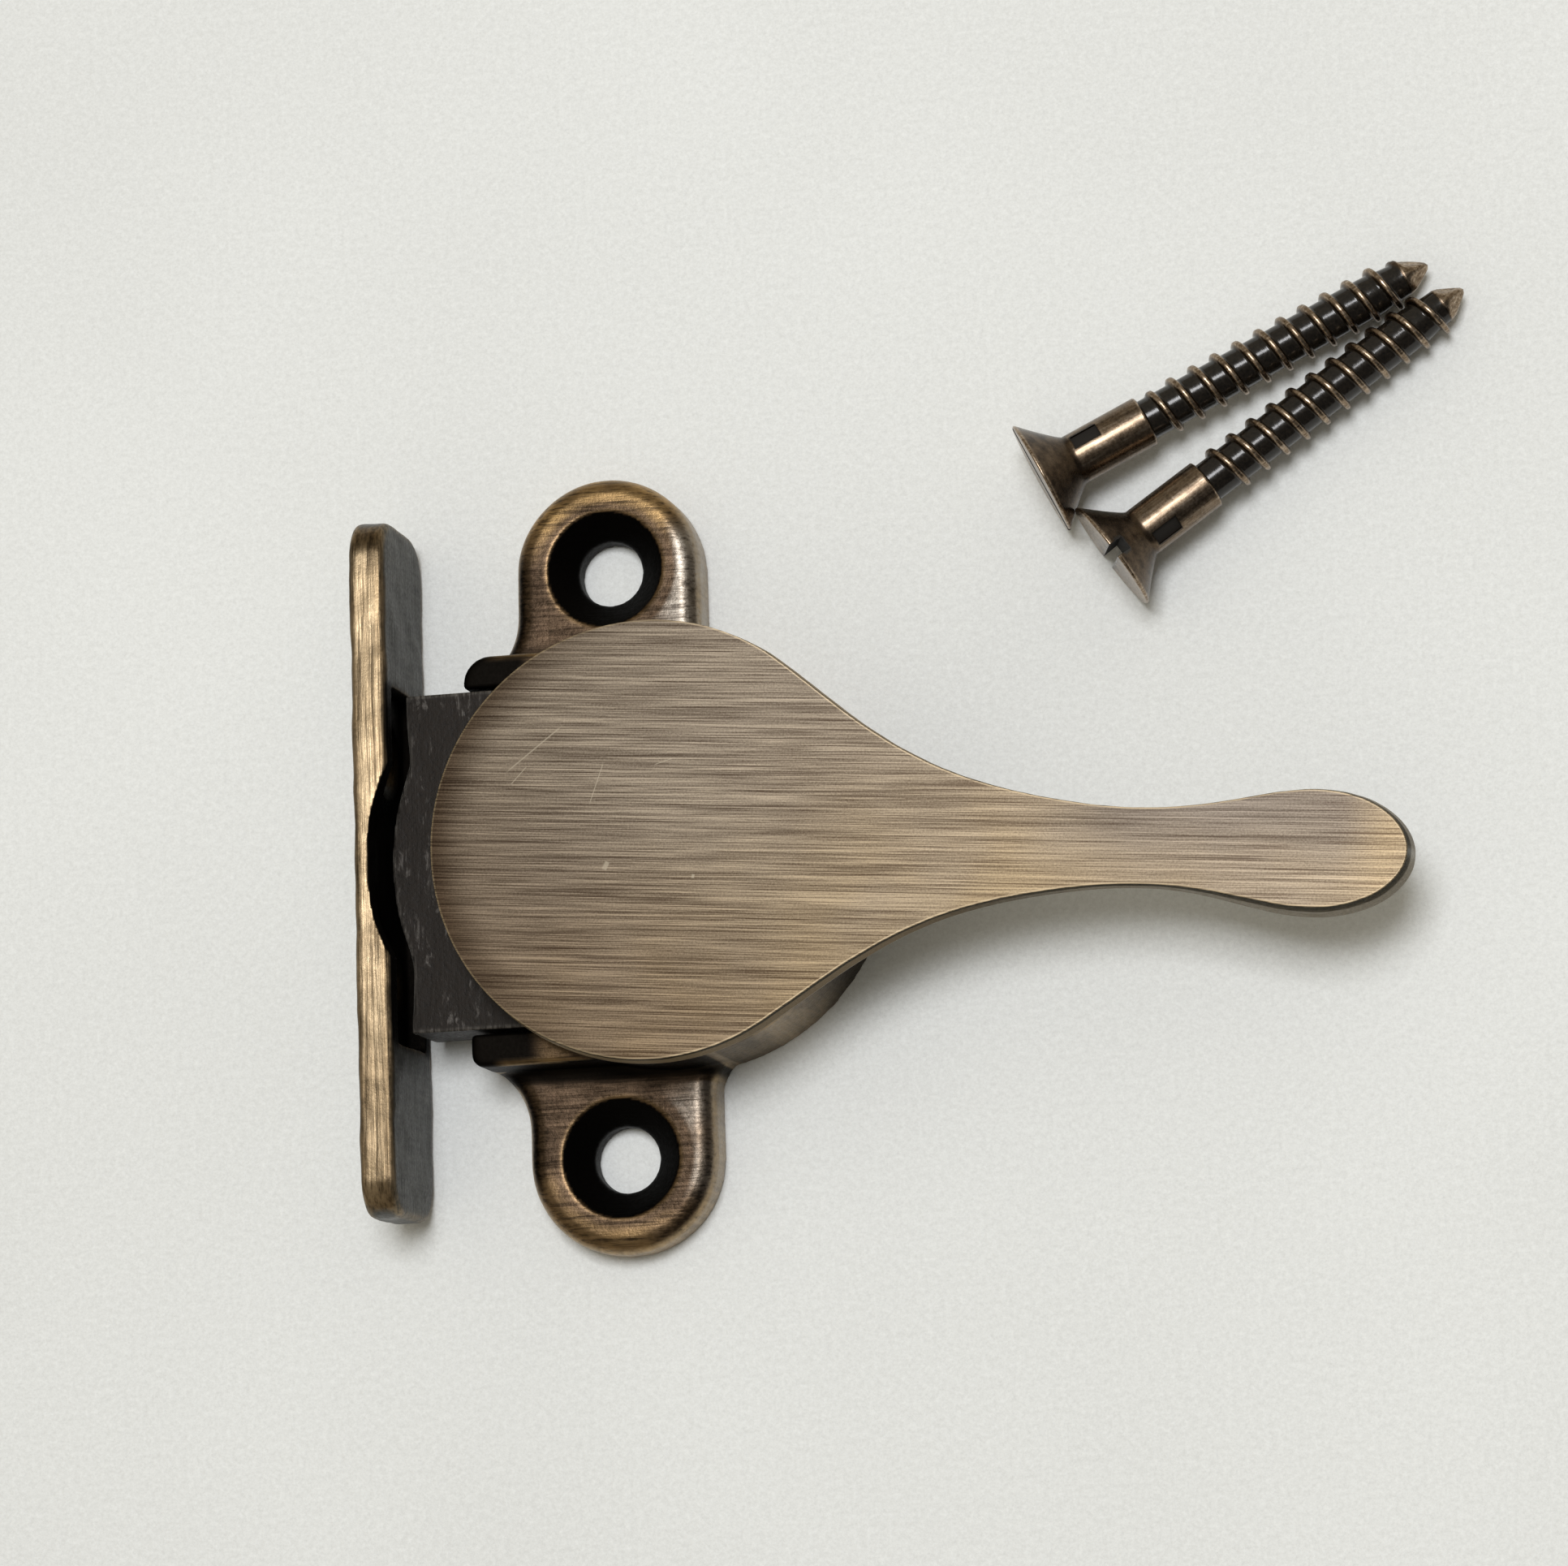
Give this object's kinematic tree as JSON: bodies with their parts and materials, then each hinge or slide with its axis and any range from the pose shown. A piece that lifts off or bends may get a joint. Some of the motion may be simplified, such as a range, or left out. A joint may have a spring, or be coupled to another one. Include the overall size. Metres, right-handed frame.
{
  "type": "toggle bolt latch",
  "caption": "Surface latch for a small door: a flat paddle lever turns a crank that draws back a sprung sliding bolt, with a bar keeper and loose wood screws.",
  "frame": {"origin": "midway between the two ear holes, on the mounting plane of the case", "axes": "+X along the lever away from the keeper, +Y from ear hole to ear hole, +Z off the door"},
  "size_m": [0.0637, 0.0536, 0.0096],
  "materials": {
    "lever_brass": "antique brass, brushed along the lever",
    "case_brass": "antique brass on a casting, worn at the edges",
    "keeper_brass": "antique brass, streaked along its edge",
    "screw_brass": "dark antique brass with bright crests",
    "bolt_black": "blackened, as cast",
    "plate_steel": "plain rolled steel",
    "steel": "turned steel",
    "spring_steel": "drawn wire",
    "bush_nylon": "moulded nylon"
  },
  "bodies": {
    "root": {"case": "case_brass", "back_plate": "plate_steel", "plate_rivet_1": "steel", "plate_rivet_2": "steel", "plate_rivet_3": "steel", "spindle_bush": "bush_nylon", "bolt_spring_1": "spring_steel", "bolt_spring_2": "spring_steel"},
    "lever": {"lever": "lever_brass", "spindle": "steel", "crank_plate": "steel", "crank_pin": "steel", "spindle_washer": "steel", "retaining_ring": "spring_steel"},
    "bolt": {"bolt": "bolt_black"},
    "keeper": {"keeper": "keeper_brass"},
    "wood_screw_1": {"wood_screw_1": "screw_brass"},
    "wood_screw_2": {"wood_screw_2": "screw_brass"}
  },
  "joints": [
    {"name": "lever_turn", "type": "hinge", "parent": "root", "child": "lever", "pos_m": [0.0035, 0, 0.0076], "axis": [0, 0, -1], "range_deg": [0, 50], "stiffness_Nm_per_rad": 0.01, "springref_deg": -22.92},
    {"name": "bolt_slide", "type": "slide", "parent": "root", "child": "bolt", "axis": [1, 0, 0], "range_m": [0, 0.0034], "deforming": ["bolt_spring_1", "bolt_spring_2"]},
    {"name": "keeper_away", "type": "slide", "parent": "root", "child": "keeper", "axis": [-1, 0, 0], "range_m": [0, 0.02]},
    {"name": "screw_1_lift", "type": "slide", "parent": "root", "child": "wood_screw_1", "axis": [0, 0, 1], "range_m": [0, 0.03]},
    {"name": "screw_2_lift", "type": "slide", "parent": "root", "child": "wood_screw_2", "axis": [0, 0, 1], "range_m": [0, 0.03]}
  ],
  "couplings": [
    {"joint": "bolt_slide", "follows": "lever_turn", "m_per_rad": 0.003895}
  ]
}
